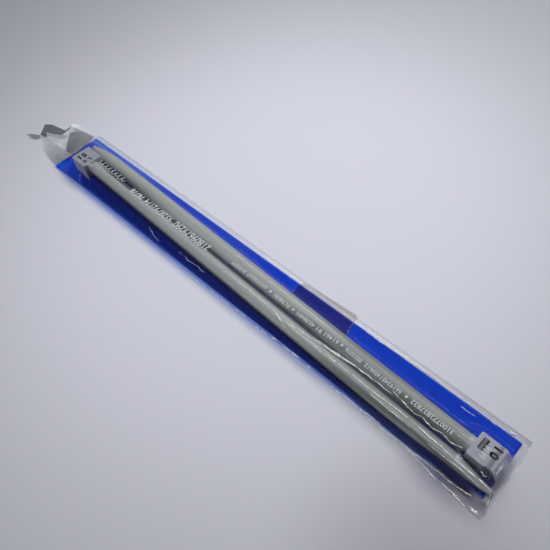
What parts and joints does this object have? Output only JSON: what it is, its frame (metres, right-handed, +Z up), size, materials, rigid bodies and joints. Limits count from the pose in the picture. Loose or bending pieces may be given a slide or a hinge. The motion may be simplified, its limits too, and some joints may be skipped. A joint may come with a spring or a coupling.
{
  "type": "knitting needles in sleeve",
  "caption": "Straight tubular knitting needles with block caps, laid head to tail on a blue sheet in a clear welded sleeve that is open at one end.",
  "frame": {"origin": "on the underside of the sleeve's back film, below the middle of the backing sheet", "axes": "+X along the pack towards its welded end, +Y away from the near long edge, +Z up, square to the back film"},
  "size_m": [0.4315, 0.0525, 0.0146],
  "materials": {
    "needle_coating": "satin grey-green coating",
    "cap_plastic": "moulded, fine satin, with dark size marks",
    "sheet_plastic": "smooth stiff sheet, slightly translucent",
    "sleeve_film": "clear glossy film with creases",
    "label_paper": "blank paper label"
  },
  "bodies": {
    "sleeve": {"sleeve_back": "sleeve_film", "sleeve_front": "sleeve_film", "rear_label": "label_paper"},
    "sheet": {"backing_sheet": "sheet_plastic"},
    "needle_a": {"needle_a_shaft": "needle_coating", "needle_a_cap": "cap_plastic"},
    "needle_b": {"needle_b_shaft": "needle_coating", "needle_b_cap": "cap_plastic"}
  },
  "joints": [
    {"name": "needle_a_out", "type": "slide", "parent": "sleeve", "child": "needle_a", "axis": [-0.9994, 0.0333, 0], "range_m": [0, 0.43]},
    {"name": "needle_b_out", "type": "slide", "parent": "sleeve", "child": "needle_b", "axis": [-0.9991, 0.0419, 0], "range_m": [0, 0.43]},
    {"name": "sheet_out", "type": "slide", "parent": "sleeve", "child": "sheet", "axis": [-1, 0, 0], "range_m": [0, 0.43]}
  ]
}
